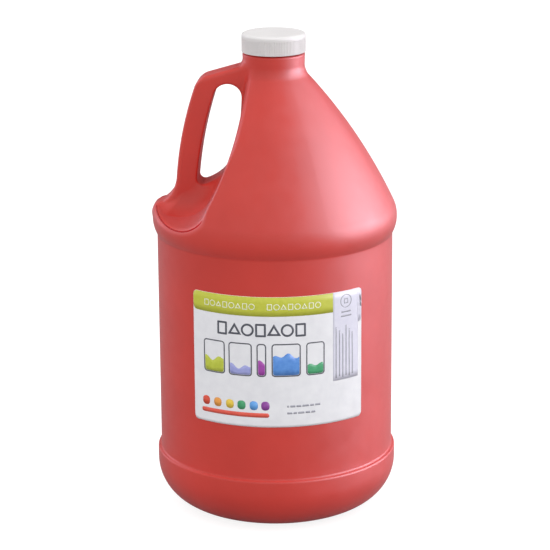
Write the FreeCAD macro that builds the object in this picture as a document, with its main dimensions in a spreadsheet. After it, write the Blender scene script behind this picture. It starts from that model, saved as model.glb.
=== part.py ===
import FreeCAD, Part
import math
import os

import Sketcher

# One-gallon paint jug with a moulded-in handle: a blow-moulded shell, its screw cap with a foam liner,
# the wrap-on front label and the paint inside.
#
# Frame: millimetres, +Z up, origin on the floor at the centre of the round body.
# The handle is on the -X side and the label is centred on the -Y side.

DIMENSIONS = {
    # shell, from the floor up
    "wall": 1.0,
    "base_recess": 3.0,
    "recess_radius": 40.0,
    "ring_radius": 48.3,
    "base_corner": 28.3,
    "band_radius": 76.6,
    "band_top": 36.7,
    "step_round": 1.5,
    "body_radius": 74.5,
    "bulge_reach": 57.3,
    "bulge_height": 188.6,
    "bulge_round": 20.0,
    "bulge_turn": 25.1,
    "shoulder_round": 334.3,
    "neck_foot_radius": 19.2,
    # neck and its 38-400 thread
    "collar_radius": 19.5,
    "collar_foot": 283.4,
    "collar_top": 292.5,
    "collar_bevel": 0.9,
    "finish_radius": 17.6,
    "lip_height": 302.7,
    "bore_radius": 15.5,
    "thread_pitch": 4.233,
    "thread_crest": 18.8,
    "thread_start": 296.7,
    "thread_rise": 4.6,
    "thread_foot_width": 2.0,
    "thread_crest_width": 1.0,
    # scoops either side of the handle
    "scoop_reach": 58.4,
    "scoop_height": 214.9,
    "scoop_round": 23.5,
    "scoop_turn": 29.9,
    "scoop_back_round": 168.6,
    "scoop_top": 281.0,
    # handle
    "handle_width": 20.7,
    "handle_centre_reach": 164.6,
    "handle_centre_height": 196.7,
    "handle_round": 226.4,
    "handle_top_turn": 20.2,
    "handle_corner": 4.5,
    "handle_top_slope": 16.2,
    "flare_turn": 4.4,
    "flare_round": 21.2,
    "lobe_turn": 57.1,
    "lobe_round": 16.5,
    "lobe_end_turn": 30.0,
    "hidden_reach": 10.0,
    "hidden_height": 185.0,
    "handle_edge_round": 3.0,
    # finger opening
    "grip_centre_reach": 203.8,
    "grip_centre_height": 189.2,
    "grip_round": 253.1,
    "arch_turn": 18.0,
    "arch_round": 9.1,
    "opening_floor": 208.6,
    "opening_corner": 5.0,
    "opening_edge_round": 1.0,
    # cap
    "cap_radius": 20.0,
    "cap_bottom": 293.3,
    "cap_top": 305.0,
    "cap_edge_round": 1.8,
    "cap_panel": 1.3,
    "cap_bore_radius": 19.05,
    "cap_thread_crest": 17.95,
    "cap_thread_rise": 5.3,
    "rib_count": 120,
    "rib_depth": 0.25,
    "rib_width": 0.5,
    "rib_run_out": 1.2,
    # liner
    "liner_radius": 18.6,
    # label
    "label_bottom": 72.1,
    "label_height": 83.7,
    "label_turn": 43.85,
    "label_aside": 6.35,
    "label_thickness": 0.2,
    "label_corner": 3.0,
    # paint
    "fill_height": 251.7,
}

LEFT = 1
RIGHT = -1

# two points nearer than this are the same point
TOUCH = 0.02
# how far a thread's foot runs into the wall it grows from
THREAD_ROOTING = 0.2

doc = FreeCAD.newDocument("paint_jug")
sheet = doc.addObject("Spreadsheet::Sheet", "dims")
for row, (alias, number) in enumerate(DIMENSIONS.items(), start=1):
    sheet.set(f"A{row}", str(number))
    sheet.setAlias(f"A{row}", alias)
doc.recompute()


class Size:
    """A length or an angle that carries both its number and the sheet expression behind it."""

    def __init__(self, number, text=None):
        self.number = float(number)
        self.text = text or f"({self.number!r})"

    def joined(self, sign, other, number):
        return Size(number, f"({self.text} {sign} {other.text})")

    def __add__(self, other):
        other = as_size(other)
        return self.joined("+", other, self.number + other.number)

    def __sub__(self, other):
        other = as_size(other)
        return self.joined("-", other, self.number - other.number)

    def __mul__(self, other):
        other = as_size(other)
        return self.joined("*", other, self.number * other.number)

    def __truediv__(self, other):
        other = as_size(other)
        return self.joined("/", other, self.number / other.number)

    def __neg__(self):
        return Size(0) - self


def as_size(value):
    return value if isinstance(value, Size) else Size(value)


def size(alias):
    return Size(sheet.get(alias), f"dims.{alias}")


def root(value):
    return Size(math.sqrt(value.number), f"sqrt({value.text})")


def sine(angle):
    return Size(math.sin(math.radians(angle.number)), f"sin({angle.text})")


def cosine(angle):
    return Size(math.cos(math.radians(angle.number)), f"cos({angle.text})")


def polar(centre, radius, angle):
    """The point at a radius and an angle, in degrees from +X, about a centre."""
    return (centre[0] + radius * cosine(angle), centre[1] + radius * sine(angle))


def other_leg(longest, leg):
    """The remaining side of a right-angled triangle."""
    return root(longest * longest - leg * leg)


def start_body(label):
    body = doc.addObject("PartDesign::Body", label)
    body.Label = label
    return body


def start_sketch(body, role, name):
    """A sketch on one of the body's own origin planes."""
    plane = next(item for item in body.Origin.OriginFeatures if item.Role == role)
    sketch = body.newObject("Sketcher::SketchObject", name)
    sketch.AttachmentSupport = [(plane, "")]
    sketch.MapMode = "FlatFace"
    return sketch


def bind(sketch, constraint, text):
    """Add a constraint and tie its value to the sheet."""
    index = sketch.addConstraint(constraint)
    name = f"size{index}"
    sketch.renameConstraint(index, name)
    sketch.setExpression(f"Constraints.{name}", text)


def bind_corner(sketch, piece, end, corner):
    """Hold one end of a piece at a corner, whichever side of the origin the corner is on."""
    for kind, place in zip(("DistanceX", "DistanceY"), corner):
        if place.number < 0:
            bind(sketch, Sketcher.Constraint(kind, piece, end, -1, 1, -place.number), f"-{place.text}")
        else:
            bind(sketch, Sketcher.Constraint(kind, -1, 1, piece, end, place.number), place.text)


def arc_between(first, last, radius):
    """The shorter arc that runs counter-clockwise from first to last."""
    chord = last - first
    half = chord.Length / 2
    sideways = FreeCAD.Vector(-chord.y, chord.x, 0).normalize()
    centre = (first + last) / 2 + sideways * math.sqrt(max(radius * radius - half * half, 0))
    angles = [math.atan2(point.y - centre.y, point.x - centre.x) for point in (first, last)]
    circle = Part.Circle(centre, FreeCAD.Vector(0, 0, 1), radius)
    return Part.ArcOfCircle(circle, angles[0], angles[1])


def draw_outline(sketch, steps):
    """Draw a closed outline whose corners and radii all come from the sheet.

    A step is (corner,) for a straight run, or (corner, radius, LEFT or RIGHT) for an arc that bends that way.
    The first step starts from the last step's corner.
    """
    corners = [steps[-1][0]] + [step[0] for step in steps]
    points = [FreeCAD.Vector(x.number, y.number, 0) for x, y in corners]
    ends = []
    for number, step in enumerate(steps):
        first, last = points[number], points[number + 1]
        if len(step) == 1:
            piece = sketch.addGeometry(Part.LineSegment(first, last), False)
            ends.append((piece, 1, 2))
        elif step[2] == LEFT:
            piece = sketch.addGeometry(arc_between(first, last, step[1].number), False)
            ends.append((piece, 1, 2))
        else:
            piece = sketch.addGeometry(arc_between(last, first, step[1].number), False)
            ends.append((piece, 2, 1))
    for number, (piece, begin, finish) in enumerate(ends):
        following = ends[(number + 1) % len(ends)]
        sketch.addConstraint(Sketcher.Constraint("Coincident", piece, finish, following[0], following[1]))
    for (piece, begin, finish), corner in zip(ends, corners):
        bind_corner(sketch, piece, begin, corner)
    for (piece, begin, finish), step in zip(ends, steps):
        if len(step) == 3:
            bind(sketch, Sketcher.Constraint("Radius", piece, step[1].number), step[1].text)


def revolve(body, sketch, name):
    feature = body.newObject("PartDesign::Revolution", name)
    feature.Profile = sketch
    feature.ReferenceAxis = (sketch, ["V_Axis"])
    feature.Angle = 360
    return feature


def extrude(body, kind, sketch, name, length_text):
    """A pad or a pocket that reaches the same distance to both sides of its sketch."""
    feature = body.newObject(f"PartDesign::{kind}", name)
    feature.Profile = sketch
    feature.SideType = "Symmetric"
    feature.setExpression("Length", length_text)
    return feature


def add_thread(body, name, foot_radius, crest_radius, start_height, rise):
    """A right-hand screw ridge; the crest radius is outside the foot on a neck and inside it in a cap."""
    sketch = start_sketch(body, "XZ_Plane", f"{name}_section")
    half_foot = size("thread_foot_width") / 2
    half_crest = size("thread_crest_width") / 2
    middle = start_height
    foot_low = (foot_radius, middle - half_foot)
    foot_high = (foot_radius, middle + half_foot)
    crest_low = (crest_radius, middle - half_crest)
    crest_high = (crest_radius, middle + half_crest)
    draw_outline(sketch, [(crest_low,), (crest_high,), (foot_high,), (foot_low,)])
    ridge = body.newObject("PartDesign::AdditiveHelix", name)
    ridge.Profile = sketch
    ridge.ReferenceAxis = (sketch, ["V_Axis"])
    ridge.Mode = "pitch-height-angle"
    ridge.setExpression("Pitch", "dims.thread_pitch")
    ridge.setExpression("Height", rise.text)
    return ridge


def draw_round_body(sketch, inset, top, neck_radius):
    """Half section of the round body; inset 0 gives the outside and the wall thickness gives the inside."""
    nothing = Size(0)
    floor = size("base_recess") + inset
    ring = size("ring_radius")
    corner = size("base_corner") - inset
    band = size("band_radius") - inset
    body_radius = size("body_radius") - inset
    step = size("band_radius") - size("body_radius")
    step_out = size("step_round") - inset * 0.5
    step_in = size("step_round") + inset * 0.5
    step_height = other_leg(step_out + step_in, step_out + step_in - step)
    step_low = size("band_top") - step_height / 2
    step_share = step_out / (step_out + step_in)
    step_middle = (band - step * step_share, step_low + step_height * step_share)
    bulge_centre = (size("bulge_reach"), size("bulge_height"))
    bulge = size("bulge_round") - inset
    groove = bulge_centre[1] - other_leg(bulge, body_radius - bulge_centre[0])
    bulge_end = polar(bulge_centre, bulge, size("bulge_turn"))
    shoulder = size("shoulder_round") - inset
    shoulder_centre = polar(bulge_centre, size("bulge_round") - size("shoulder_round"), size("bulge_turn"))
    neck_height = shoulder_centre[1] + other_leg(shoulder, neck_radius - shoulder_centre[0])
    steps = [
        ((nothing, floor),),
        ((size("recess_radius"), floor),),
        ((size("recess_radius") + size("base_recess"), inset),),
        ((ring, inset),),
        ((ring + corner, inset + corner), corner, LEFT),
        ((band, step_low),),
        (step_middle, step_out, LEFT),
        ((body_radius, step_low + step_height), step_in, RIGHT),
        ((body_radius, groove),),
        (bulge_end, bulge, LEFT),
        ((neck_radius, neck_height), shoulder, LEFT),
    ]
    steps += [((reach, height),) for reach, height in top]
    draw_outline(sketch, steps)


def draw_scoop(sketch, inset):
    """Everything outside the scooped wall: a long gentle back that turns into a small round floor."""
    centre = (-size("scoop_reach"), size("scoop_height"))
    floor_round = size("scoop_round") + inset
    back_round = size("scoop_back_round") + inset
    turn = -size("scoop_turn")
    join = polar(centre, floor_round, turn)
    back_centre = polar(centre, size("scoop_round") - size("scoop_back_round"), turn)
    top = size("scoop_top")
    back_top = (back_centre[0] + other_leg(back_round, back_centre[1] - top), top)
    far_left = (centre[0] - floor_round, centre[1])
    bottom = (centre[0], centre[1] - floor_round)
    steps = [
        (bottom, floor_round, LEFT),
        (join, floor_round, LEFT),
        (back_top, back_round, LEFT),
        ((far_left[0], back_top[1]),),
        (far_left,),
    ]
    draw_outline(sketch, steps)


def handle_steps(inset):
    """Side outline of the handle and its web; its right and lower edges are hidden inside the round body."""
    centre = (size("handle_centre_reach"), size("handle_centre_height"))
    back = size("handle_round") - inset
    flare = size("flare_round") + inset
    lobe = size("lobe_round") - inset
    corner = size("handle_corner") - inset
    straight = Size(180)
    slope = size("handle_top_slope")
    top_turn = straight - size("handle_top_turn")
    flare_centre = polar(centre, size("handle_round") + size("flare_round"), straight - size("flare_turn"))
    lobe_centre = polar(flare_centre, size("flare_round") + size("lobe_round"), -size("lobe_turn"))
    corner_centre = polar(centre, size("handle_round") - size("handle_corner"), top_turn)
    corner_top = polar(corner_centre, corner, slope + 90)
    hidden = -size("hidden_reach")
    top_right = (hidden, corner_top[1] + (hidden - corner_top[0]) * sine(slope) / cosine(slope))
    return [
        (corner_top,),
        (polar(corner_centre, corner, top_turn), corner, LEFT),
        (polar(centre, back, straight - size("flare_turn")), back, LEFT),
        (polar(flare_centre, flare, -size("lobe_turn")), flare, RIGHT),
        (polar(lobe_centre, lobe, straight - size("lobe_end_turn")), lobe, LEFT),
        ((-size("bulge_reach"), size("hidden_height")),),
        ((hidden, size("hidden_height")),),
        (top_right,),
    ]


def opening_steps(inset):
    """The finger opening; its right edge is hidden inside the round body."""
    centre = (size("grip_centre_reach"), size("grip_centre_height"))
    grip = size("grip_round") + inset
    arch = size("arch_round") + inset
    corner = size("opening_corner") + inset
    floor = size("opening_floor") - inset
    arch_turn = Size(180) - size("arch_turn")
    arch_centre = polar(centre, size("grip_round") - size("arch_round"), arch_turn)
    arch_right = (arch_centre[0] + arch, arch_centre[1])
    corner_rise = size("opening_floor") + size("opening_corner") - centre[1]
    corner_reach = size("grip_round") - size("opening_corner")
    corner_run = other_leg(corner_reach, corner_rise)
    share = grip / corner_reach
    return [
        (polar(centre, grip, arch_turn), grip, RIGHT),
        ((arch_centre[0], arch_centre[1] + arch), arch, RIGHT),
        (arch_right, arch, RIGHT),
        ((arch_right[0], floor),),
        ((centre[0] - corner_run, floor),),
        ((centre[0] - corner_run * share, centre[1] + corner_rise * share), corner, RIGHT),
    ]


def side_edges(shape, corners, half_width):
    """Names of the edges that lie in the handle's two flat sides and touch one of these outline corners."""
    found = []
    for number, edge in enumerate(shape.Edges, start=1):
        ends = [vertex.Point for vertex in edge.Vertexes]
        in_side = all(abs(abs(end.y) - half_width) < TOUCH for end in ends)
        along_side = abs(ends[0].y - ends[-1].y) < TOUCH
        at_corner = any(
            math.hypot(end.x - x.number, end.z - z.number) < TOUCH for end in ends for x, z in corners
        )
        if in_side and along_side and at_corner:
            found.append(f"Edge{number}")
    return found


def round_edges(body, name, pick, radius):
    """Round the edges that pick finds on the body as it is so far."""
    doc.recompute()
    base = body.Tip
    edges = pick(base.Shape)
    fillet = body.newObject("PartDesign::Fillet", name)
    fillet.Base = (base, edges)
    fillet.setExpression("Radius", radius.text)


def round_form(name, inset, top, neck_radius):
    """The round body with its scooped side: the outside at inset 0, or the space inside it."""
    body = start_body(name)
    section = start_sketch(body, "XZ_Plane", f"{name}_section")
    draw_round_body(section, inset, top, neck_radius)
    revolve(body, section, f"{name}_turned")
    scoop = start_sketch(body, "XZ_Plane", f"{name}_scoop_outline")
    draw_scoop(scoop, inset)
    extrude(body, "Pocket", scoop, f"{name}_scoop", "4 * dims.band_radius")
    return body


def handle_form(name, inset):
    """The handle with its web and its finger opening; its ends run on into the round body."""
    body = start_body(name)
    outline = handle_steps(inset)
    opening = opening_steps(inset)
    handle = start_sketch(body, "XZ_Plane", f"{name}_outline")
    draw_outline(handle, outline)
    draw_outline(handle, opening)
    width = size("handle_width") - inset * 2
    extrude(body, "Pad", handle, f"{name}_slab", width.text)
    half_width = width.number / 2
    back = [step[0] for step in outline[:4]]
    around = [opening[0][0], opening[1][0], opening[4][0], opening[5][0]]
    round_edges(
        body, f"{name}_edges", lambda shape: side_edges(shape, back, half_width),
        size("handle_edge_round") - inset,
    )
    if inset.number == 0:
        round_edges(
            body, f"{name}_opening_edges", lambda shape: side_edges(shape, around, half_width),
            size("opening_edge_round"),
        )
    return body


def joined(name, first, second):
    """One solid made of both."""
    fuse = doc.addObject("Part::Fuse", name)
    fuse.Base = first
    fuse.Tool = second
    return fuse


def outside_top():
    """Neck, collar and plain finish above the shoulder, from the neck's foot inwards to the axis."""
    collar = size("collar_radius")
    bevel = size("collar_bevel")
    top = size("collar_top")
    finish = size("finish_radius")
    lip = size("lip_height")
    return [
        (size("neck_foot_radius"), size("collar_foot")),
        (collar, top - bevel),
        (collar - bevel, top),
        (finish, top),
        (finish, lip),
        (Size(0), lip),
    ]


def inside_top():
    """The neck's bore, run out past the lip so that the jug is open at the top."""
    above = size("lip_height") + size("wall")
    return [(size("bore_radius"), above), (Size(0), above)]


def make_jug():
    """The shell, and the space inside it, which runs up the handle too."""
    wall = size("wall")
    body = round_form("round_outside", Size(0), outside_top(), size("neck_foot_radius"))
    rooted = size("finish_radius") - THREAD_ROOTING
    add_thread(body, "neck_thread", rooted, size("thread_crest"), size("thread_start"), size("thread_rise"))
    hollow = round_form("round_inside", wall, inside_top(), size("bore_radius"))
    jug = doc.addObject("Part::Cut", "jug")
    jug.Label = "jug"
    jug.Base = joined("jug_outside", body, handle_form("handle_outside", Size(0)))
    jug.Tool = joined("jug_inside", hollow, handle_form("handle_inside", wall))
    return jug, jug.Tool


def make_cap():
    """Ribbed screw cap: a flat panel, a round top edge, a skirt with a thread inside and fine ribs outside."""
    cap = start_body("cap")
    nothing = Size(0)
    radius = size("cap_radius")
    bore = size("cap_bore_radius")
    bottom = size("cap_bottom")
    top = size("cap_top")
    edge = size("cap_edge_round")
    panel = top - size("cap_panel")
    section = start_sketch(cap, "XZ_Plane", "cap_section")
    draw_outline(section, [
        ((bore, panel),),
        ((bore, bottom),),
        ((radius, bottom),),
        ((radius, top - edge),),
        ((radius - edge, top), edge, LEFT),
        ((nothing, top),),
        ((nothing, panel),),
    ])
    revolve(cap, section, "cap_round")
    groove = start_sketch(cap, "XY_Plane", "cap_groove_outline")
    half = size("rib_width") / 2
    root_radius = radius - size("rib_depth")
    outer = radius + size("rib_depth")
    draw_outline(groove, [
        ((outer, -half * 2),),
        ((outer, half * 2),),
        ((root_radius, half * 0.5),),
        ((root_radius, -half * 0.5),),
    ])
    cut = cap.newObject("PartDesign::Pocket", "cap_groove")
    cut.Profile = groove
    cut.Reversed = True
    cut.setExpression("Length", (top - edge - size("rib_run_out")).text)
    ribs = cap.newObject("PartDesign::PolarPattern", "cap_ribs")
    ribs.Originals = [cut]
    ribs.Axis = (groove, ["N_Axis"])
    ribs.Angle = 360
    ribs.setExpression("Occurrences", "dims.rib_count")
    cap.Tip = ribs
    half_pitch = size("thread_pitch") / 2
    start = size("thread_start") - half_pitch
    rooted = bore + THREAD_ROOTING
    add_thread(cap, "cap_thread", rooted, size("cap_thread_crest"), start, size("cap_thread_rise"))
    return cap


def make_cap_liner():
    """Foam disc held between the cap's panel and the neck's lip."""
    liner = doc.addObject("Part::Cylinder", "cap_liner")
    liner.Label = "cap_liner"
    liner.setExpression("Radius", "dims.liner_radius")
    liner.setExpression("Height", "dims.cap_top - dims.cap_panel - dims.lip_height")
    liner.setExpression("Placement.Base.z", "dims.lip_height")
    return liner


def make_label():
    """Wrap-on label: a thin curved sheet with round corners, centred on the front of the body."""
    label = start_body("label")
    centre = (Size(0), Size(0))
    inner = size("body_radius")
    outer = inner + size("label_thickness")
    middle = Size(-90) + size("label_aside")
    first = middle - size("label_turn")
    last = middle + size("label_turn")
    outline = start_sketch(label, "XY_Plane", "label_outline")
    outline.setExpression("AttachmentOffset.Base.z", "dims.label_bottom")
    draw_outline(outline, [
        (polar(centre, outer, first),),
        (polar(centre, outer, last), outer, LEFT),
        (polar(centre, inner, last),),
        (polar(centre, inner, first), inner, RIGHT),
    ])
    sheet_pad = label.newObject("PartDesign::Pad", "label_sheet")
    sheet_pad.Profile = outline
    sheet_pad.setExpression("Length", "dims.label_height")
    thickness = size("label_thickness").number
    round_edges(
        label, "label_corners",
        lambda shape: [f"Edge{n}" for n, e in enumerate(shape.Edges, start=1) if e.Length < thickness + TOUCH],
        size("label_corner"),
    )
    return label


def make_paint(inside):
    """The paint: the space inside the jug, up to the filling line."""
    level = doc.addObject("Part::Cylinder", "filling_level")
    level.setExpression("Radius", "2 * dims.band_radius")
    level.setExpression("Height", "dims.fill_height")
    paint = doc.addObject("Part::Common", "paint")
    paint.Label = "paint"
    paint.Base = inside
    paint.Tool = level
    return paint


jug, inside = make_jug()
parts = [jug, make_cap(), make_cap_liner(), make_label(), make_paint(inside)]
doc.recompute()

for item in doc.Objects:
    if "Invalid" in item.State or "Error" in item.State:
        raise RuntimeError(f"{item.Name} failed: {item.State}")
for part in parts:
    if part.Shape.isNull() or not part.Shape.isValid() or len(part.Shape.Solids) != 1:
        raise RuntimeError(f"{part.Label} is not one valid solid")

os.makedirs("parts", exist_ok=True)
for part in parts:
    part.Shape.exportStep(f"parts/{part.Label}.step")
    print(part.Label, f"{part.Shape.Volume / 1000:.1f} cm3")
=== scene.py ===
import math

import bmesh
import bpy
import numpy as np
from mathutils import Matrix, Vector


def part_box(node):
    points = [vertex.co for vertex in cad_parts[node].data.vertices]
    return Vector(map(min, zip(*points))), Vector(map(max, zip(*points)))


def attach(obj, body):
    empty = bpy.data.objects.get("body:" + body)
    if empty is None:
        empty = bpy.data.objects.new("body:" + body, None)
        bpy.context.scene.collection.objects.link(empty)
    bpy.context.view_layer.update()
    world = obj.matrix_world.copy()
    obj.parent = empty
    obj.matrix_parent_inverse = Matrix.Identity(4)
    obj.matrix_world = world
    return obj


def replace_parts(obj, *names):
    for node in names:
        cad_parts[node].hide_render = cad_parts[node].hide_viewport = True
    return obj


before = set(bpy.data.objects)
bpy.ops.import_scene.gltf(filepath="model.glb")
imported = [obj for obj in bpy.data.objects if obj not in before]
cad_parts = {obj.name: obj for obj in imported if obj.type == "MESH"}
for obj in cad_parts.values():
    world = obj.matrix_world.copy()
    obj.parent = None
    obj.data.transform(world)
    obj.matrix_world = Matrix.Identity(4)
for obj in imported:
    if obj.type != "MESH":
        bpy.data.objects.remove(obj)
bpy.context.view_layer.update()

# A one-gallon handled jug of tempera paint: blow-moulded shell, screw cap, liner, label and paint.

MM = 0.001
TAU = 2 * math.pi


def box_mm(node):
    """A CAD node's lowest and highest corners, in millimetres."""
    low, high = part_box(node)
    return low / MM, high / MM


jug_high = box_mm("jug")[1]
label_low, label_high = box_mm("label")

# ---------------------------------------------------------------- sizes of the jug, in millimetres

BAND_RADIUS = 76.6  # the thicker band at the foot
BODY_RADIUS = 74.5  # the straight wall that the label lies on
CORNER_ROUND = 28.3
STEP_TOP = 38.13
STEP_ROUND = 1.5
BASE_PUSH_UP = 3.0
RECESS_RADIUS = 40.0
RECESS_ROUND = 2.5

BULGE_CENTRE = (57.3, 188.6)  # radius from the axis, height
BULGE_ROUND = 20.0
GROOVE_ROUND = 3.5  # the soft crease where the straight wall meets the bulge
SHOULDER_CENTRE = (-227.32, 55.28)
SHOULDER_ROUND = 334.3

NECK_RADIUS = 19.2
NECK_TAPER = 0.3 / 8.2  # the collar widens upwards
NECK_FOOT = 283.4
NECK_BLEND = 3.0
COLLAR_TOP = 292.5
COLLAR_RADIUS = 19.5
COLLAR_BEVEL = 0.9
FINISH_RADIUS = 17.6
THREAD_CREST = 18.8
THREAD_PITCH = 4.233
THREAD_START = 296.7
THREAD_TURNS = 4.6 / THREAD_PITCH
LIP_TOP = jug_high.z
LIP_ROUND = 0.5
BORE_RADIUS = 15.5
NECK_INSIDE_RADIUS = 18.2
BORE_FOOT = 284.0
WALL = 1.0

SCOOP_CENTRE = (-58.44, 214.87)  # x, height, as for the other outlines of the scoop and handle
SCOOP_ROUND = 23.48
SCOOP_BACK_CENTRE = (-184.23, 287.23)
SCOOP_BACK_ROUND = 168.6
RIM_CRISP = 1.0
RIM_SOFT = 4.5  # the rim rolls softly where it passes the handle's foot
RIM_SOFT_BELOW = 196.0
RIM_CRISP_ABOVE = 208.0
RIM_UPPER = 3.5  # and softly again near the neck
RIM_UPPER_FROM = 228.0
RIM_UPPER_TO = 246.0

HANDLE_HALF_WIDTH = 10.35
HANDLE_CENTRE = (164.57, 196.65)
HANDLE_ROUND = 226.43
HANDLE_EDGE = 3.0
FLARE_CENTRE = (-82.32, 215.55)
FLARE_ROUND = 21.18
LOBE_CENTRE = (-61.88, 183.95)
LOBE_ROUND = 16.45
TOP_CORNER_CENTRE = (-43.68, 273.36)
TOP_CORNER_ROUND = 4.5
TOP_SLOPE = math.radians(16.15)
GRIP_CENTRE = (203.79, 189.2)
GRIP_ROUND = 253.08
ARCH_CENTRE = (-28.19, 264.75)
ARCH_ROUND = 9.1
OPENING_FLOOR = 208.6
OPENING_CORNER = 5.0
OPENING_EDGE = 1.2
WEB_BLEND = 14.0
BAR_BLEND = 4.0
OUTER_BLEND = 3.0
LOBE_EDGE = 4.5
LOBE_FREE = (192.0, 204.0)  # the heights over which the lobe may leave the round body
LOBE_REACH = 30.0
HANDLE_END = -2.0  # x where the handle stops, inside the round body
LOBE_EDGE_SPAN = (200.0, 212.0)  # and those over which its soft edge turns into the handle's
WEB_DEPTH = (0.5, 7.0)
BAR_SPAN = (222.0, 240.0)
SEAM_SPAN = 6.0  # the blend dies out over this height above the turned foot
NECK_ROOT = 255.0
INSIDE_NECK_FOOT = 280.5

FIELD_LOW = 187.0  # between these heights the shell is one free form, and outside them it is turned
FIELD_HIGH = 290.6
SKIN_PITCH = 1.0
INSIDE_PITCH = 2.0
SEGMENTS = 288

# ---------------------------------------------------------------- materials


def linear(hex_colour):
    """An sRGB hex value as the linear RGBA that the shaders work in."""
    channels = [int(hex_colour[i:i + 2], 16) / 255 for i in (1, 3, 5)]
    return tuple(c / 12.92 if c <= 0.04045 else ((c + 0.055) / 1.055) ** 2.4 for c in channels) + (1.0,)


def node(tree, kind, settings=None, **inputs):
    """Adds one shader node: settings are its properties, inputs its sockets' values or the outputs that
    feed them. An input named i and a number is the socket with that number."""
    made = tree.nodes.new(kind)
    for name, value in (settings or {}).items():
        setattr(made, name, value)
    for name, value in inputs.items():
        numbered = name[0] == "i" and name[1:].isdigit()
        socket = made.inputs[int(name[1:]) if numbered else name.replace("_", " ")]
        if isinstance(value, bpy.types.NodeSocket):
            tree.links.new(value, socket)
        else:
            socket.default_value = value
    return made


def new_material(name, **constants):
    """A material with one Principled shader whose constant sockets are set directly on it."""
    made = bpy.data.materials.new(name)
    made.use_nodes = True
    tree = made.node_tree
    tree.nodes.clear()
    shader = node(tree, "ShaderNodeBsdfPrincipled", **constants)
    node(tree, "ShaderNodeOutputMaterial", Surface=shader.outputs["BSDF"])
    return made, tree, shader


def place(tree):
    """The point on the piece in metres, which stays put when the camera moves."""
    return node(tree, "ShaderNodeTexCoord").outputs["Object"]


def noise(tree, size_mm, detail=2.0, roughness=0.5, vector=None):
    """A noise whose blobs are about size_mm across."""
    return node(
        tree, "ShaderNodeTexNoise", Vector=vector or place(tree), Scale=1 / (size_mm * MM),
        Detail=detail, Roughness=roughness,
    ).outputs["Fac"]


def ramp(tree, factor, low, high, from_min=0.3, from_max=0.7):
    """Maps a 0 to 1 pattern onto the values low to high."""
    return node(
        tree, "ShaderNodeMapRange", i0=factor, i1=from_min, i2=from_max, i3=low, i4=high,
    ).outputs["Result"]


def tint(tree, factor, first, second):
    """A colour that runs from first to second as factor goes from 0 to 1."""
    return node(
        tree, "ShaderNodeMix", {"data_type": "RGBA"}, i0=factor, i6=linear(first), i7=linear(second),
    ).outputs[2]


def bump(tree, height, distance_mm, strength=1.0, normal=None):
    """A surface normal from a height pattern; distance_mm is how tall a full step of it is."""
    made = node(
        tree, "ShaderNodeBump", Height=height, Distance=distance_mm * MM, Strength=strength,
    )
    if normal is not None:
        tree.links.new(normal, made.inputs["Normal"])
    return made.outputs["Normal"]


def red_hdpe():
    """Blow-moulded HDPE, pigmented red: satin and slightly milky, with a faint orange peel from the mould
    and the broad shallow waves of a wall that cooled unevenly."""
    made, tree, shader = new_material(
        "blow_moulded_red_hdpe", IOR=1.54, Specular_IOR_Level=0.75, Sheen_Weight=0.12, Sheen_Roughness=0.45,
        Sheen_Tint=(0.92, 0.86, 1.0, 1.0),
    )
    mottle = ramp(tree, noise(tree, 38, 3), 0.0, 1.0)
    tree.links.new(tint(tree, mottle, "#C52717", "#CD2B1B"), shader.inputs["Base Color"])
    tree.links.new(ramp(tree, noise(tree, 9, 3), 0.44, 0.52), shader.inputs["Roughness"])
    waves = bump(tree, noise(tree, 34, 1), 0.35)
    peel = bump(tree, noise(tree, 1.6, 2), 0.012, normal=waves)
    tree.links.new(peel, shader.inputs["Normal"])
    return made


def white_pp():
    """Injection-moulded polypropylene, white: even and waxy, with a very fine spark-eroded grain."""
    made, tree, shader = new_material("injection_moulded_white_pp", IOR=1.49, Subsurface_Weight=0.15,
                                      Subsurface_Radius=(0.004, 0.004, 0.004), Subsurface_Scale=1.0)
    tree.links.new(tint(tree, ramp(tree, noise(tree, 14), 0.0, 1.0), "#D6D3D3", "#DBD8D8"),
                   shader.inputs["Base Color"])
    tree.links.new(ramp(tree, noise(tree, 4), 0.42, 0.5), shader.inputs["Roughness"])
    tree.links.new(bump(tree, noise(tree, 0.7), 0.008), shader.inputs["Normal"])
    return made


def liner_foam():
    """Expanded polyethylene foam, pale: closed cells under half a millimetre, drawn at one to show."""
    made, tree, shader = new_material("expanded_pe_foam", IOR=1.5, Specular_IOR_Level=0.3)
    cells = node(tree, "ShaderNodeTexVoronoi", Vector=place(tree), Scale=1 / (1.0 * MM)).outputs["Distance"]
    tree.links.new(tint(tree, cells, "#E2E0D8", "#F2F1EC"), shader.inputs["Base Color"])
    tree.links.new(ramp(tree, cells, 0.7, 0.85, 0.0, 1.0), shader.inputs["Roughness"])
    tree.links.new(bump(tree, cells, 0.1), shader.inputs["Normal"])
    return made


def tempera_paint():
    """Liquid tempera, red: a wet, nearly opaque body colour with slow streaks of unmixed pigment."""
    made, tree, shader = new_material("liquid_tempera", IOR=1.36)
    streaks = node(tree, "ShaderNodeMapping", Vector=place(tree), Scale=(1, 3, 1)).outputs["Vector"]
    streaky = ramp(tree, noise(tree, 30, 4, vector=streaks), 0.0, 1.0)
    tree.links.new(tint(tree, streaky, "#A81B1E", "#BA2224"), shader.inputs["Base Color"])
    tree.links.new(ramp(tree, noise(tree, 25), 0.08, 0.16), shader.inputs["Roughness"])
    return made


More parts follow.
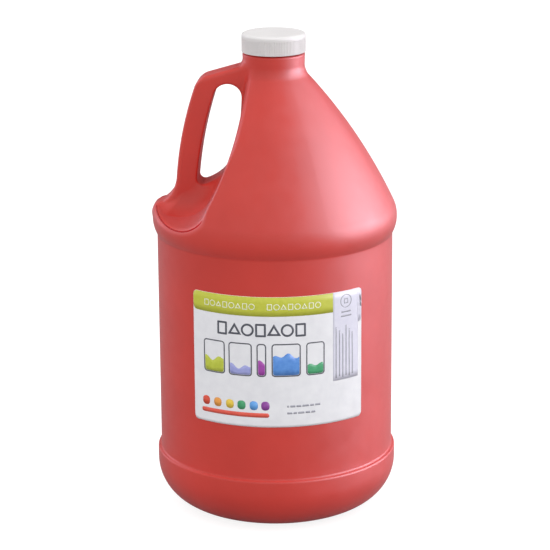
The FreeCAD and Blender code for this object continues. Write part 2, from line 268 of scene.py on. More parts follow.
def label_film():
    """Coated paper label, off-white: a low gloss, a cloudy paper formation and faint dried-in creases."""
    made, tree, shader = new_material("coated_label_paper", IOR=1.5)
    tree.links.new(tint(tree, ramp(tree, noise(tree, 6, 3), 0.0, 1.0), "#E0E0E5", "#E7E7EB"),
                   shader.inputs["Base Color"])
    tree.links.new(ramp(tree, noise(tree, 12, 2), 0.36, 0.48), shader.inputs["Roughness"])
    creases = node(tree, "ShaderNodeMapping", Vector=place(tree), Scale=(2.4, 2.4, 0.7)).outputs["Vector"]
    folds = bump(tree, noise(tree, 26, 1, vector=creases), 0.25)
    tree.links.new(bump(tree, noise(tree, 0.9, 2), 0.004, normal=folds), shader.inputs["Normal"])
    return made


def offset_ink(name, light, dark):
    """Offset ink on the label: a flat, slightly uneven film with the label's own low gloss."""
    made, tree, shader = new_material("offset_ink_" + name, IOR=1.5)
    uneven = ramp(tree, noise(tree, 2.5, 3), 0.0, 1.0)
    tree.links.new(tint(tree, uneven, light, dark), shader.inputs["Base Color"])
    tree.links.new(ramp(tree, noise(tree, 8), 0.38, 0.48), shader.inputs["Roughness"])
    return made


def studio_floor():
    """Seamless paper, matt, with the faint cloudiness of a wide roll. The camera sees it overexposed to
    white, and the jug's reflections see it grey."""
    made, tree, shader = new_material("seamless_paper", IOR=1.45, Specular_IOR_Level=0.1)
    seen = node(tree, "ShaderNodeLightPath").outputs["Is Camera Ray"]
    glare = ramp(tree, seen, 0.0, 0.85, 0.0, 1.0)
    tree.links.new(glare, shader.inputs["Emission Strength"])
    shader.inputs["Emission Color"].default_value = (1, 1, 1, 1)
    tree.links.new(tint(tree, noise(tree, 400), "#8C8C8C", "#909090"), shader.inputs["Base Color"])
    tree.links.new(ramp(tree, noise(tree, 60), 0.8, 0.95), shader.inputs["Roughness"])
    return made


# ---------------------------------------------------------------- the jug's free form, as a distance field


def circle(u, v, centre, radius):
    return np.hypot(u - centre[0], v - centre[1]) - radius


def is_left_of(u, v, start, end):
    """True to the left of the line that runs from start to end."""
    return (end[0] - start[0]) * (v - start[1]) - (end[1] - start[1]) * (u - start[0]) > 0


def ease(value, low, high):
    """A smooth 0 to 1 as value goes from low to high."""
    t = np.clip((value - low) / (high - low), 0, 1)
    return t * t * (3 - 2 * t)


def joined(a, b, fillet):
    """Two solids as one, with a fillet in the corner between them."""
    corner = np.hypot(np.maximum(fillet - a, 0), np.maximum(fillet - b, 0))
    return np.maximum(fillet, np.minimum(a, b)) - corner


def shared(a, b, edge):
    """What two solids share, with its edge rounded."""
    return np.minimum(-edge, np.maximum(a, b)) + np.hypot(np.maximum(edge + a, 0), np.maximum(edge + b, 0))


def turned_body(r, z):
    """The bulge and the shoulder."""
    bulge = np.hypot(np.maximum(r - BULGE_CENTRE[0], 0), z - BULGE_CENTRE[1]) - BULGE_ROUND
    shoulder = circle(r, z, SHOULDER_CENTRE, SHOULDER_ROUND)
    return np.where(is_left_of(r, z, SHOULDER_CENTRE, BULGE_CENTRE), shoulder, bulge)


def scoop_air(x, z):
    """The air of the scoop beside the handle, which runs right through along Y."""
    rise = np.where(x < SCOOP_CENTRE[0], np.minimum(z - SCOOP_CENTRE[1], 0), z - SCOOP_CENTRE[1])
    low = np.hypot(x - SCOOP_CENTRE[0], rise) - SCOOP_ROUND
    back = circle(x, z, SCOOP_BACK_CENTRE, SCOOP_BACK_ROUND)
    return np.where(is_left_of(x, z, SCOOP_BACK_CENTRE, SCOOP_CENTRE), back, low)


def handle_outline(x, z):
    """The handle's side view without its opening."""
    back = circle(x, z, HANDLE_CENTRE, HANDLE_ROUND)
    lobe = circle(x, z, LOBE_CENTRE, LOBE_ROUND)
    in_flare = ~is_left_of(x, z, LOBE_CENTRE, FLARE_CENTRE) & is_left_of(x, z, HANDLE_CENTRE, FLARE_CENTRE)
    in_flare &= x > FLARE_CENTRE[0]
    foot = np.where(in_flare, -circle(x, z, FLARE_CENTRE, FLARE_ROUND), np.minimum(back, lobe))
    top_u = x - TOP_CORNER_CENTRE[0]
    top_v = z - TOP_CORNER_CENTRE[1]
    top = top_v * math.cos(TOP_SLOPE) - top_u * math.sin(TOP_SLOPE) - TOP_CORNER_ROUND
    return shared(foot, top, TOP_CORNER_ROUND)


def opening_air(x, z):
    """The finger opening's side view; the scoop's wall closes it on the jug's side."""
    grip = circle(x, z, GRIP_CENTRE, GRIP_ROUND)
    rise = np.where(x > ARCH_CENTRE[0], np.maximum(z - ARCH_CENTRE[1], 0), z - ARCH_CENTRE[1])
    arch = np.hypot(x - ARCH_CENTRE[0], rise) - ARCH_ROUND
    at_arch = ~is_left_of(x, z, GRIP_CENTRE, ARCH_CENTRE) | (x > ARCH_CENTRE[0])
    return shared(np.where(at_arch, arch, grip), OPENING_FLOOR - z, OPENING_CORNER)


def jug_skin(x, y, z):
    """The distance from the jug's outer skin, below 0 inside it."""
    r = np.hypot(x, y)
    rim = RIM_CRISP + (RIM_SOFT - RIM_CRISP) * (1 - ease(z, RIM_SOFT_BELOW, RIM_CRISP_ABOVE))
    rim += (RIM_UPPER - RIM_CRISP) * ease(z, RIM_UPPER_FROM, RIM_UPPER_TO)
    body = shared(turned_body(r, z), -scoop_air(x, z), rim)
    neck = np.maximum(r - NECK_RADIUS - NECK_TAPER * (z - NECK_FOOT), NECK_ROOT - z)
    body = joined(body, neck, NECK_BLEND)
    outline = handle_outline(x, z)
    edge = HANDLE_EDGE + (LOBE_EDGE - HANDLE_EDGE) * (1 - ease(z, *LOBE_EDGE_SPAN))
    slab = shared(np.abs(y) - HANDLE_HALF_WIDTH, outline, edge)
    handle = shared(slab, -opening_air(x, z), OPENING_EDGE)
    lobe_limit = turned_body(r, z) - LOBE_REACH * ease(z, *LOBE_FREE)
    handle = np.maximum(handle, np.maximum(x - HANDLE_END, lobe_limit))
    side = OUTER_BLEND + (WEB_BLEND - OUTER_BLEND) * ease(-outline, *WEB_DEPTH)
    blend = side + (BAR_BLEND - side) * ease(z, *BAR_SPAN)
    return joined(body, handle, np.maximum(blend * ease(z, FIELD_LOW, FIELD_LOW + SEAM_SPAN), 0.01))


def jug_inside(x, y, z):
    """The distance from the jug's inner wall, below 0 in the room for the paint."""
    r = np.hypot(x, y)
    return np.maximum(jug_skin(x, y, z) + WALL, np.minimum(r - NECK_INSIDE_RADIUS, z - INSIDE_NECK_FOOT))


def slope_of(field, points, step=0.05):
    """The field's gradient at each point."""
    x, y, z = points.T
    return np.stack([
        field(x + step, y, z) - field(x - step, y, z),
        field(x, y + step, z) - field(x, y - step, z),
        field(x, y, z + step) - field(x, y, z - step),
    ], axis=1) / (2 * step)


def skin_of(field, low, high, pitch):
    """Wraps a field's zero surface in four-sided faces about pitch wide, and returns points and faces."""
    counts = [int(round((high[i] - low[i]) / pitch)) + 1 for i in range(3)]
    axes = [low[i] + pitch * np.arange(counts[i]) for i in range(3)]
    inside = field(*np.meshgrid(*axes, indexing="ij", sparse=True)) < 0
    cells = tuple(n - 1 for n in counts)
    filled = sum(
        inside[i:i + cells[0], j:j + cells[1], k:k + cells[2]].astype(np.int8)
        for i in (0, 1) for j in (0, 1) for k in (0, 1)
    )
    crossed = (filled > 0) & (filled < 8)
    number = -np.ones(cells, int)
    number[crossed] = np.arange(crossed.sum())
    points = np.stack([axes[i][index] + pitch / 2 for i, index in enumerate(np.nonzero(crossed))], axis=1)
    for _ in range(5):
        slope = slope_of(field, points)
        move = field(*points.T)[:, None] * slope / np.maximum((slope ** 2).sum(1), 0.05)[:, None]
        points -= np.clip(move, -pitch, pitch)
    faces = []
    for axis in range(3):
        a, b = (axis + 1) % 3, (axis + 2) % 3
        first = np.moveaxis(inside, (axis, a, b), (0, 1, 2))[:, 1:-1, 1:-1]
        ids = np.moveaxis(number, (axis, a, b), (0, 1, 2))
        leaves, enters = first[:-1] & ~first[1:], ~first[:-1] & first[1:]
        outward, inward = ((0, 0), (1, 0), (1, 1), (0, 1)), ((0, 0), (0, 1), (1, 1), (1, 0))
        for crossing, order in ((leaves, outward), (enters, inward)):
            i, j, k = np.nonzero(crossing)
            faces.append(np.stack([ids[i, j + dj, k + dk] for dj, dk in order], axis=1))
    return points, np.concatenate(faces)


# ---------------------------------------------------------------- turned parts of the jug


def arc(centre, radius, start, end, steps):
    """Points on an arc from one angle to another, in degrees."""
    angles = [math.radians(start + (end - start) * i / steps) for i in range(steps + 1)]
    return [(centre[0] + radius * math.cos(a), centre[1] + radius * math.sin(a)) for a in angles]


def line(start, end, steps):
    return [(start[0] + (end[0] - start[0]) * i / steps, start[1] + (end[1] - start[1]) * i / steps)
            for i in range(steps + 1)]


def outer_foot_profile():
    """The outside from the middle of the base up to the free form."""
    floor_edge = BAND_RADIUS - CORNER_ROUND
    step = math.degrees(math.acos(1 - (BAND_RADIUS - BODY_RADIUS) / (2 * STEP_ROUND)))
    step_low = STEP_TOP - 2 * STEP_ROUND * math.sin(math.radians(step))
    groove_reach = BULGE_ROUND + GROOVE_ROUND
    groove_x = BODY_RADIUS + GROOVE_ROUND
    groove_z = BULGE_CENTRE[1] - math.sqrt(groove_reach ** 2 - (groove_x - BULGE_CENTRE[0]) ** 2)
    groove_turn = math.degrees(math.acos((groove_x - BULGE_CENTRE[0]) / groove_reach))
    top_turn = math.degrees(math.asin((FIELD_LOW - BULGE_CENTRE[1]) / BULGE_ROUND))
    points = line((RECESS_RADIUS / 8, BASE_PUSH_UP), (RECESS_RADIUS - RECESS_ROUND, BASE_PUSH_UP), 8)
    points += arc((RECESS_RADIUS - RECESS_ROUND, BASE_PUSH_UP - RECESS_ROUND), RECESS_ROUND, 90, 45, 4)
    points += [(RECESS_RADIUS + 3, 0)]
    points += arc((floor_edge, CORNER_ROUND), CORNER_ROUND, -90, 0, 24)
    points += arc((BAND_RADIUS - STEP_ROUND, step_low), STEP_ROUND, 0, step, 7)
    points += arc((BODY_RADIUS + STEP_ROUND, STEP_TOP), STEP_ROUND, 180 + step, 180, 7)
    points += line((BODY_RADIUS, STEP_TOP + 4), (BODY_RADIUS, groove_z - 4), 26)
    points += arc((groove_x, groove_z), GROOVE_ROUND, 180, 180 - groove_turn, 6)
    points += arc(BULGE_CENTRE, BULGE_ROUND, -groove_turn, top_turn, 9)
    return tidy_line(points)


def inner_foot_profile():
    """The inside from the middle of the base up to the free form."""
    floor_edge = BAND_RADIUS - CORNER_ROUND
    top_turn = math.degrees(math.asin((FIELD_LOW - BULGE_CENTRE[1]) / BULGE_ROUND))
    points = line((RECESS_RADIUS / 8, BASE_PUSH_UP + WALL), (RECESS_RADIUS, BASE_PUSH_UP + WALL), 1)
    points += [(RECESS_RADIUS + 3, WALL)]
    points += arc((floor_edge, CORNER_ROUND), CORNER_ROUND - WALL, -90, 0, 12)
    points += [(BAND_RADIUS - WALL, STEP_TOP - 3), (BODY_RADIUS - WALL, STEP_TOP)]
    points += line((BODY_RADIUS - WALL, STEP_TOP + 4), (BODY_RADIUS - WALL, 177), 8)
    points += arc(BULGE_CENTRE, BULGE_ROUND - WALL, -24, top_turn, 4)
    return tidy_line(points)


def tidy_line(points):
    """Drops points that lie on the one before."""
    kept = points[:1]
    for point in points[1:]:
        if math.dist(point, kept[-1]) > 0.01:
            kept.append(point)
    return kept


def ring(mesh, radius_at, height, segments):
    """A closed ring of vertices; radius_at is a radius, or a function of the angle."""
    angles = [TAU * i / segments for i in range(segments)]
    reach = radius_at if callable(radius_at) else (lambda angle: radius_at)
    return [mesh.verts.new((reach(a) * math.cos(a), reach(a) * math.sin(a), height)) for a in angles]


def skin_rings(mesh, rings):
    """Faces between neighbouring rings."""
    for low, high in zip(rings, rings[1:]):
        for i in range(len(low)):
            j = (i + 1) % len(low)
            mesh.faces.new((low[i], low[j], high[j], high[i]))


def lathe(mesh, profile, segments):
    """A turned skin through the profile's points, and its rings."""
    rings = [ring(mesh, radius, height, segments) for radius, height in profile]
    skin_rings(mesh, rings)
    return rings


def thread_radius(height):
    """The neck's outside with its thread: a ridge that climbs one pitch a turn and fades in and out."""
    def reach(angle):
        climb = height - THREAD_START
        turns = math.floor(climb / THREAD_PITCH - angle / TAU + 0.5)
        along = angle / TAU + turns
        off = abs(climb - along * THREAD_PITCH)
        fade = min(max(along / 0.06, 0), 1) * min(max((THREAD_TURNS - along) / 0.06, 0), 1)
        ridge = min(max((1.0 - off) / 0.5, 0), 1) * fade
        return FINISH_RADIUS + (THREAD_CREST - FINISH_RADIUS) * ridge * ridge * (3 - 2 * ridge)
    return reach


def neck_rings(mesh, segments):
    """The turned neck from the free form's top, over the collar, up the thread and down into the bore."""
    seam = FIELD_HIGH + 0.5
    collar = [(NECK_RADIUS + NECK_TAPER * (seam - NECK_FOOT), seam)]
    collar += [(COLLAR_RADIUS, COLLAR_TOP - COLLAR_BEVEL), (COLLAR_RADIUS - 0.15, COLLAR_TOP - 0.6)]
    collar += [(COLLAR_RADIUS - 0.6, COLLAR_TOP - 0.15), (COLLAR_RADIUS - COLLAR_BEVEL, COLLAR_TOP)]
    collar += [(FINISH_RADIUS + 0.3, COLLAR_TOP), (FINISH_RADIUS, COLLAR_TOP + 0.3)]
    rings = [ring(mesh, radius, height, segments) for radius, height in collar]
    height = COLLAR_TOP + 0.6
    while height < LIP_TOP - LIP_ROUND:
        rings.append(ring(mesh, thread_radius(height), height, segments))
        height += 0.3
    lip = arc((FINISH_RADIUS - LIP_ROUND, LIP_TOP - LIP_ROUND), LIP_ROUND, 0, 90, 4)
    lip += arc((BORE_RADIUS + LIP_ROUND, LIP_TOP - LIP_ROUND), LIP_ROUND, 90, 180, 4)
    lip += [(BORE_RADIUS, BORE_FOOT), (NECK_INSIDE_RADIUS, BORE_FOOT - 0.6)]
    rings += [ring(mesh, radius, height, segments) for radius, height in lip]
    skin_rings(mesh, rings)
    return rings[0], rings[-1]


def edges_of(loop):
    """The edges of a ring of vertices."""
    members = set(loop)
    return list({e for v in loop for e in v.link_edges if e.is_boundary and e.other_vert(v) in members})


def open_edges(verts, low, high):
    """The open edges of a skin between two heights."""
    found = {e for v in verts for e in v.link_edges if e.is_boundary}
    return [e for e in found if all(low < v.co.z < high for v in e.verts)]


def jug_shell():
    """The whole shell: free form in the middle, turned foot and neck, with its inner wall."""
    mesh = bmesh.new()
    reach = BULGE_CENTRE[0] + BULGE_ROUND + 2.6
    normals = {}

    def free_form(field, low, high, pitch, flip):
        points, faces = skin_of(field, (-reach, -reach, low), (reach, reach, high), pitch)
        slope = slope_of(field, points)
        slope /= np.linalg.norm(slope, axis=1)[:, None]
        verts = [mesh.verts.new(p) for p in points]
        for v, n in zip(verts, slope):
            normals[v] = -n if flip else n
        for face in faces:
            corners = [verts[i] for i in face]
            mesh.faces.new(corners[::-1] if flip else corners)
        return verts

    outer = free_form(jug_skin, FIELD_LOW, FIELD_HIGH, SKIN_PITCH, False)
    inner = free_form(jug_inside, FIELD_LOW, BORE_FOOT - 2, INSIDE_PITCH, True)
    foot = lathe(mesh, outer_foot_profile()[:-1], SEGMENTS)
    mesh.faces.new(foot[0])
    inside_foot = lathe(mesh, inner_foot_profile()[:-1], SEGMENTS // 2)
    mesh.faces.new(inside_foot[0])
    collar, bore = neck_rings(mesh, SEGMENTS * 2 // 3)
    margin = 2 * INSIDE_PITCH
    for verts, edge_ring, height in (
        (outer, foot[-1], FIELD_LOW), (inner, inside_foot[-1], FIELD_LOW),
        (outer, collar, FIELD_HIGH), (inner, bore, BORE_FOOT - 2),
    ):
        skin_edges = open_edges(verts, height - margin, height + margin)
        bmesh.ops.bridge_loops(mesh, edges=skin_edges + edges_of(edge_ring))
    bmesh.ops.recalc_face_normals(mesh, faces=mesh.faces)
    return mesh, normals


def finished(mesh, name, body, slot, *materials, normals=None):
    """Turns a bmesh in millimetres into a smooth-shaded piece that rides on a body."""
    mesh.verts.index_update()
    directions = np.zeros((len(mesh.verts), 3))
    for vert, normal in (normals or {}).items():
        if vert.is_valid:
            directions[vert.index] = normal
    bmesh.ops.scale(mesh, vec=(MM, MM, MM), verts=mesh.verts)
    data = bpy.data.meshes.new(name)
    mesh.to_mesh(data)
    mesh.free()
    data.polygons.foreach_set("use_smooth", [True] * len(data.polygons))
    if normals:
        data.normals_split_custom_set_from_vertices(directions.tolist())
    piece = bpy.data.objects.new(name, data)
    bpy.context.scene.collection.objects.link(piece)
    for material in materials:
        data.materials.append(material)
    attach(piece, body)
    return piece


shell_mesh, shell_normals = jug_shell()
shell = finished(shell_mesh, "jug_shell", "jug", "jug_plastic", red_hdpe(), normals=shell_normals)
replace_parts(shell, "jug")

# ---------------------------------------------------------------- label and its print, in millimetres

LABEL_RADIUS = BODY_RADIUS
LABEL_THICKNESS = 0.2
LABEL_ASIDE = math.radians(6.35)  # the label is stuck on a little to the right of the front
LABEL_HALF_TURN = math.asin(label_high.x / (LABEL_RADIUS + LABEL_THICKNESS)) - LABEL_ASIDE
LABEL_HALF = LABEL_HALF_TURN * (LABEL_RADIUS + LABEL_THICKNESS)  # half its width along the curve
LABEL_HEIGHT = label_high.z - label_low.z
LABEL_CORNER = 3.0
INK_FILM = 0.02
INK_LIFT = LABEL_THICKNESS + 0.03
OVERPRINT_LIFT = INK_LIFT + INK_FILM * 1.5  # for ink that lies on other ink


def on_label(u, v, lift):
    """The point u along the label's curve from its middle and v above its foot, raised by lift."""
    angle = LABEL_ASIDE + u / (LABEL_RADIUS + LABEL_THICKNESS)
    edge = min(LABEL_HALF - abs(u), v, LABEL_HEIGHT - v)
    held = min(max(edge / 6, 0), 1)  # the edges stay stuck down
    wave = math.sin(0.21 * u + 0.4) * math.sin(0.13 * v + 0.9) + math.sin(0.11 * u - 0.16 * v + 2.2)
    crease = math.sin(0.52 * (u - 0.35 * v) + 1.1) * max((u - 5) / LABEL_HALF, 0)
    radius = LABEL_RADIUS + lift + held * (0.05 * (wave + 2) + 0.05 * (crease + 1))
    return radius * math.sin(angle), -radius * math.cos(angle), label_low.z + v


def strip(mesh, columns, low, high, rows, lift, thickness):
    """A closed film between two curves over the given columns: low and high give the film's edges at u."""
    grid = [[(u, low(u) + (high(u) - low(u)) * j / rows) for j in range(rows + 1)] for u in columns]
    top = [[mesh.verts.new(on_label(u, v, lift + thickness)) for u, v in column] for column in grid]
    under = [[mesh.verts.new(on_label(u, v, lift)) for u, v in column] for column in grid]
    last = len(columns) - 1
    for i in range(last):
        for j in range(rows):
            mesh.faces.new((top[i][j], top[i + 1][j], top[i + 1][j + 1], top[i][j + 1]))
            mesh.faces.new((under[i][j], under[i][j + 1], under[i + 1][j + 1], under[i + 1][j]))
        mesh.faces.new((top[i][0], under[i][0], under[i + 1][0], top[i + 1][0]))
        mesh.faces.new((top[i][rows], top[i + 1][rows], under[i + 1][rows], under[i][rows]))
    for j in range(rows):
        mesh.faces.new((top[0][j], top[0][j + 1], under[0][j + 1], under[0][j]))
        mesh.faces.new((top[last][j], under[last][j], under[last][j + 1], top[last][j + 1]))


def columns_between(start, end, corner, width=1.5):
    """Columns across a shape, closer together at its round ends."""
    steps = (0, 20, 40, 60, 75, 90) if corner > 0 else (0,)
    turns = [corner * (1 - math.cos(math.radians(a))) for a in steps]
    middle_start, middle_end = start + turns[-1], end - turns[-1]
    count = max(int(math.ceil((middle_end - middle_start) / width)), 1)
    middle = [middle_start + (middle_end - middle_start) * i / count for i in range(count + 1)]
    ends = [start + t for t in turns[:-1]], [end - t for t in reversed(turns[:-1])]
    found = ends[0] + middle + ends[1]
    return [u for i, u in enumerate(found) if i == 0 or u - found[i - 1] > 0.01]


def rounded_block(mesh, left, foot, right, head, corner=0.0, rows=None, lift=INK_LIFT,
                  thickness=INK_FILM, corners=(1, 1)):
    """A block with rounded corners; corners says whether its left and right ends are rounded."""
    def inset(u):
        depth = 0.0
        if corners[0]:
            depth = max(depth, corner - (u - left))
        if corners[1]:
            depth = max(depth, corner - (right - u))
        return corner - math.sqrt(max(corner ** 2 - depth ** 2, 0)) if depth > 0 else 0.0

    edge = max(corner - 0.02, 0)
    rows = rows or max(int((head - foot) / 4), 1)
    strip(mesh, columns_between(left, right, corner), lambda u: foot + min(inset(u), edge),
          lambda u: head - min(inset(u), edge), rows, lift, thickness)


def outline(mesh, points, inner, lift=INK_LIFT, thickness=INK_FILM):
    """A closed line drawn between an outer and an inner loop of the same count."""
    count = len(points)
    levels = [[[mesh.verts.new(on_label(u, v, level)) for u, v in loop] for loop in (points, inner)]
              for level in (lift + thickness, lift)]
    (top_out, top_in), (low_out, low_in) = levels
    for i in range(count):
        j = (i + 1) % count
        mesh.faces.new((top_out[i], top_out[j], top_in[j], top_in[i]))
        mesh.faces.new((low_out[i], low_in[i], low_in[j], low_out[j]))
        mesh.faces.new((top_out[i], low_out[i], low_out[j], top_out[j]))
        mesh.faces.new((top_in[i], top_in[j], low_in[j], low_in[i]))


def regular_loop(centre, radius, sides, per_side, turn=90.0):
    """A regular polygon's points, with per_side points on each side."""
    corners = [(centre[0] + radius * math.cos(math.radians(turn + 360 * i / sides)),
                centre[1] + radius * math.sin(math.radians(turn + 360 * i / sides))) for i in range(sides)]
    points = []
    for i in range(sides):
        points += line(corners[i], corners[(i + 1) % sides], per_side)[:-1]
    return points


def rounded_loop(left, foot, right, head, corner, per_side=10, per_corner=5):
    """A rounded rectangle's points."""
    centres = ((right - corner, head - corner, 0), (left + corner, head - corner, 90),
               (left + corner, foot + corner, 180), (right - corner, foot + corner, 270))
    points = []
    for i, (u, v, start) in enumerate(centres):
        points += arc((u, v), corner, start, start + 90, per_corner)
        following = centres[(i + 1) % 4]
        angle = math.radians(following[2])
        first = (following[0] + corner * math.cos(angle), following[1] + corner * math.sin(angle))
        points += line(points[-1], first, per_side)[1:-1]
    return points


def framed(mesh, left, foot, right, head, corner, stroke, lift=INK_LIFT):
    """A rounded rectangle drawn as a line."""
    inner_corner = max(corner - stroke, 0.05)
    inner = rounded_loop(left + stroke, foot + stroke, right - stroke, head - stroke, inner_corner)
    outline(mesh, rounded_loop(left, foot, right, head, corner), inner, lift)


def shape_line(mesh, centre, radius, sides, stroke, lift=INK_LIFT):
    """A regular polygon drawn as a line; many sides make a ring."""
    per_side = max(int(round(TAU * radius / sides / 1.2)), 1)
    inner = radius - stroke / math.cos(math.pi / sides)
    outline(mesh, regular_loop(centre, radius, sides, per_side),
            regular_loop(centre, inner, sides, per_side), lift)


def ink_piece(name, ink, draw):
    """One colour of the label's print as its own piece."""
    mesh = bmesh.new()
    draw(mesh)
    bmesh.ops.recalc_face_normals(mesh, faces=mesh.faces)
    finished(mesh, name, "jug", "label_film", ink)


def label_sheet():
    mesh = bmesh.new()
    rounded_block(mesh, -LABEL_HALF, 0, LABEL_HALF, LABEL_HEIGHT, LABEL_CORNER, rows=56, lift=0.0,
                  thickness=LABEL_THICKNESS)
    bmesh.ops.recalc_face_normals(mesh, faces=mesh.faces)
    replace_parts(finished(mesh, "label_sheet", "jug", "label_film", label_film()), "label")


label_sheet()

PANEL_LEFT = 34.8  # where the side panel starts
BAND_FOOT, BAND_HEAD = 71.4, LABEL_HEIGHT - 0.1
POTS = (  # left, right and how far each pot is filled, of its height
    ("lime", -49.0, -34.0, 0.46, "#B5BF3B", "#C0C94A"),
    ("periwinkle", -31.5, -16.5, 0.30, "#9499D2", "#A2A7DC"),
    ("purple", -13.6, -7.6, 0.42, "#9A3FA0", "#A84BAC"),
    ("blue", -4.4, 13.6, 0.62, "#4F86D3", "#5F95DC"),
    ("green", 17.0, 29.0, 0.30, "#3F9C69", "#50A877"),
)
POT_FOOT, POT_HEAD = 32.8, 54.0
HEADING_FOOT, HEADING_HEAD = 58.3, 66.8
DOTS = (("red", -47.6, "#D8472F", "#DE5540"), ("orange", -39.3, "#E5953A", "#EBA24C"),
        ("yellow", -31.0, "#E0BE3C", "#E8C84E"), ("green", -23.4, "#3F9C69", "#50A877"),
        ("blue", -15.6, "#5B9BE0", "#6AA7E6"), ("purple", -8.4, "#8A3F98", "#9549A4"))


def draw_lime_band(mesh):
    rounded_block(mesh, -LABEL_HALF + 0.1, BAND_FOOT, PANEL_LEFT, BAND_HEAD, 2.9, corners=(1, 0), rows=3)


def draw_band_shapes(mesh):
    """Plain outlined shapes in two groups stand for the words of the band."""
    foot, head, stroke = 75.4, 79.4, 0.55
    middle, half = (foot + head) / 2, (head - foot) / 2
    for start, count in ((-46.5, 8), (-5.5, 8)):
        for i in range(count):
            centre = start + i * 4.3
            if i % 3 == 1:
                shape_line(mesh, (centre, middle), half, 20, stroke, OVERPRINT_LIFT)
            elif i % 3 == 2:
                shape_line(mesh, (centre, middle - half * 0.2), half * 1.15, 3, stroke, OVERPRINT_LIFT)
            else:
                left, right = centre - half * 0.8, centre + half * 0.8
                framed(mesh, left, foot, right, head, 0.4, stroke, OVERPRINT_LIFT)


def draw_heading(mesh):
    """Seven plain outlined shapes stand for the heading."""
    stroke = 1.25
    middle, half = (HEADING_FOOT + HEADING_HEAD) / 2, (HEADING_HEAD - HEADING_FOOT) / 2
    sides = (4, 3, 24, 4, 3, 24, 4)
    for i, count in enumerate(sides):
        centre = -35.6 + i * 8.2
        if count == 4:
            framed(mesh, centre - half * 0.78, HEADING_FOOT, centre + half * 0.78, HEADING_HEAD, 0.6, stroke)
        elif count == 3:
            shape_line(mesh, (centre, middle - half * 0.2), half * 1.18, 3, stroke)
        else:
            shape_line(mesh, (centre, middle), half * 0.96, count, stroke)


def draw_pot_lines(mesh):
    for _, left, right, _, _, _ in POTS:
        framed(mesh, left, POT_FOOT, right, POT_HEAD, 2.2, 0.75)


def draw_pot_fill(left, right, share):
    """The paint in one pot, with a lazy wave on top."""
    def draw(mesh):
        inset, corner = 0.9, 1.4
        start, end, foot = left + inset, right - inset, POT_FOOT + inset
        level = POT_FOOT + share * (POT_HEAD - POT_FOOT)

        def low(u):
            depth = max(corner - (u - start), corner - (end - u), 0)
            return foot + corner - math.sqrt(max(corner ** 2 - depth ** 2, 0.0))

        strip(mesh, columns_between(start, end, corner, 1.0), low,
              lambda u: level + 1.1 * math.sin(0.75 * (u - left)) + 0.9 * math.sin(0.33 * u), 3,
              INK_LIFT, INK_FILM)
    return draw


def draw_panel(mesh):
    rounded_block(mesh, PANEL_LEFT, 26.9, LABEL_HALF - 3.2, BAND_HEAD, 0.0, rows=14)
    rounded_block(mesh, LABEL_HALF - 3.2, 62, LABEL_HALF - 0.1, BAND_HEAD, 2.9, corners=(0, 1), rows=5)


def draw_panel_print(mesh):
    """A ring mark, two short lines and the columns of fine print."""
    lift = OVERPRINT_LIFT
    mark = (44.3, 77.3)
    outline(mesh, regular_loop(mark, 4.3, 28, 1), regular_loop(mark, 3.7, 28, 1), lift)
    outline(mesh, regular_loop(mark, 2.2, 4, 3, 45), regular_loop(mark, 1.5, 4, 3, 45), lift)
    for foot, half in ((70.0, 3.6), (67.3, 4.0)):
        rounded_block(mesh, 44.4 - half, foot, 44.4 + half, foot + 1.1, 0.3, lift=lift)
    for i in range(6):
        left = 36.6 + i * 2.45
        head = 61.6 - (i % 3) * 2.4
        rounded_block(mesh, left, 28.6 + (i % 2) * 0.8, left + 0.8, head, 0.0, rows=12, lift=lift)


def draw_small_print(mesh):
    """Two rows of short dashes stand for the small print."""
    for foot, widths in ((12.9, (1.2, 3.2, 3.0, 4.2, 2.6, 3.4)), (8.5, (3.2, 2.2, 4.0, 3.0, 2.6))):
        left = 5.0
        for width in widths:
            rounded_block(mesh, left, foot, left + width, foot + 1.3, 0.3)
            left += width + 0.7


def draw_dot(centre):
    """One colour patch of the maker's row, a plain upright lozenge."""
    def draw(mesh):
        rounded_block(mesh, centre - 2.6, 11.0, centre + 2.6, 16.8, 2.2)
    return draw


def draw_red_bar(mesh):
    rounded_block(mesh, -51.0, 6.3, -6.0, 9.2, 1.4)


dark_grey = offset_ink("dark_grey", "#4E515B", "#5A5D67")
grey = offset_ink("grey", "#9A9BA6", "#A6A7B1")
ink_piece("band_lime", offset_ink("lime", "#BCC13B", "#C3C646"), draw_lime_band)
ink_piece("panel_lavender", offset_ink("lavender", "#D3D2E2", "#D9D8E6"), draw_panel)
ink_piece("heading_shapes", dark_grey, draw_heading)
ink_piece("pot_lines", dark_grey, draw_pot_lines)
ink_piece("panel_print", grey, draw_panel_print)
ink_piece("small_print", grey, draw_small_print)
ink_piece("red_bar", offset_ink("red_bar", "#DD5344", "#E25C4C"), draw_red_bar)
for colour, left, right, share, light, dark in POTS:
    ink_piece("pot_" + colour, offset_ink("pot_" + colour, light, dark), draw_pot_fill(left, right, share))
for colour, centre, light, dark in DOTS:
    ink_piece("patch_" + colour, offset_ink("patch_" + colour, light, dark), draw_dot(centre))
ink_piece("band_shapes", offset_ink("pale", "#E4E6C4", "#ECEDD4"), draw_band_shapes)

# ---------------------------------------------------------------- the CAD nodes that stay


def refinish(name, material):
    """Gives a CAD node its finished material."""
    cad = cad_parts[name]
    for cad_slot in cad.material_slots:
        cad_slot.material = material
    if not cad.material_slots:
        cad.data.materials.append(material)


refinish("cap", white_pp())
refinish("cap_liner", liner_foam())
refinish("paint", tempera_paint())

# ---------------------------------------------------------------- studio

FLOOR_HALF = 12.0  # metres
FLOOR_GAP = 0.0002
AIM = (0, 0, 0.15)


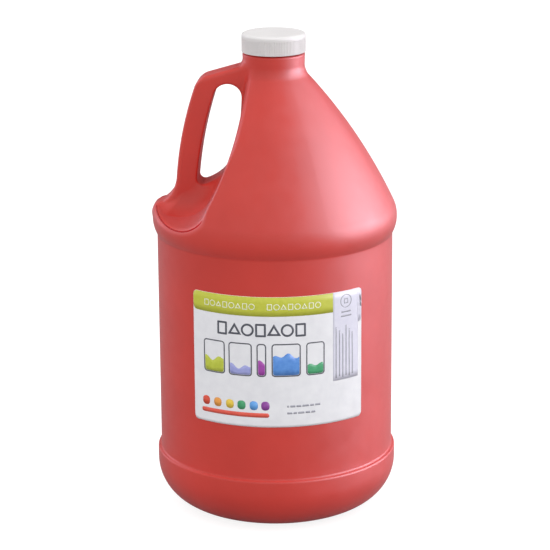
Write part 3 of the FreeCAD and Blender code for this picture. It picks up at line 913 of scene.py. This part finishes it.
def studio_ground():
    mesh = bmesh.new()
    bmesh.ops.create_grid(mesh, x_segments=24, y_segments=24, size=FLOOR_HALF)
    data = bpy.data.meshes.new("floor")
    mesh.to_mesh(data)
    mesh.free()
    ground = bpy.data.objects.new("floor", data)
    ground.location.z = -FLOOR_GAP
    bpy.context.scene.collection.objects.link(ground)
    data.materials.append(studio_floor())


def softbox(name, place_at, size, power, colour="#FFFFFF"):
    """A rectangular soft light at place_at that points at the jug's middle."""
    data = bpy.data.lights.new(name, "AREA")
    data.shape = "RECTANGLE"
    data.size, data.size_y = size
    data.energy = power
    data.color = linear(colour)[:3]
    lamp = bpy.data.objects.new(name, data)
    lamp.location = place_at
    towards = Vector(AIM) - Vector(place_at)
    lamp.rotation_euler = towards.to_track_quat("-Z", "Y").to_euler()
    bpy.context.scene.collection.objects.link(lamp)
    return lamp


def studio_light():
    """An even white tent for the body colour, and cool panels that show only as sheen, most on the right."""
    right_place, right_size = (1.5, -0.25, 0.85), (1.3, 1.6)
    softbox("right_panel", right_place, right_size, 8).visible_glossy = False
    for name, place_at, size, power in (
        ("right_sheen", right_place, right_size, 46),
        ("back_right_sheen", (1.35, 0.75, 0.5), (1.2, 1.2), 14),
        ("low_right_sheen", (1.6, 0.2, 0.35), (1.2, 0.9), 27),
        ("back_left_sheen", (-1.4, 0.9, 0.7), (0.8, 1.4), 8),
    ):
        softbox(name, place_at, size, power, "#F6ECFF").visible_diffuse = False
    world = bpy.data.worlds.new("studio")
    world.use_nodes = True
    background = world.node_tree.nodes["Background"]
    background.inputs["Color"].default_value = linear("#FFFFFF")
    background.inputs["Strength"].default_value = 1.4
    world.cycles_visibility.glossy = False
    bpy.context.scene.world = world


def camera():
    """A long lens a little above the jug, rolled by under half a degree."""
    pitch, azimuth, roll = math.radians(16.08), math.radians(5.0), math.radians(-0.404)
    distance = 1.4917
    aim = Vector((-0.00016, 0, 0.1484))
    data = bpy.data.cameras.new("camera")
    data.sensor_width = 36.0
    data.lens = 153.0
    data.clip_end = 60
    view = bpy.data.objects.new("camera", data)
    level = math.cos(pitch)
    back = Vector((math.sin(azimuth) * level, -math.cos(azimuth) * level, math.sin(pitch)))
    turn = (-back).to_track_quat("-Z", "Y").to_matrix() @ Matrix.Rotation(roll, 3, "Z")
    view.matrix_world = Matrix.Translation(aim + back * distance) @ turn.to_4x4()
    bpy.context.scene.collection.objects.link(view)
    bpy.context.scene.camera = view


studio_ground()
studio_light()
camera()
bpy.context.scene.view_settings.view_transform = "Standard"
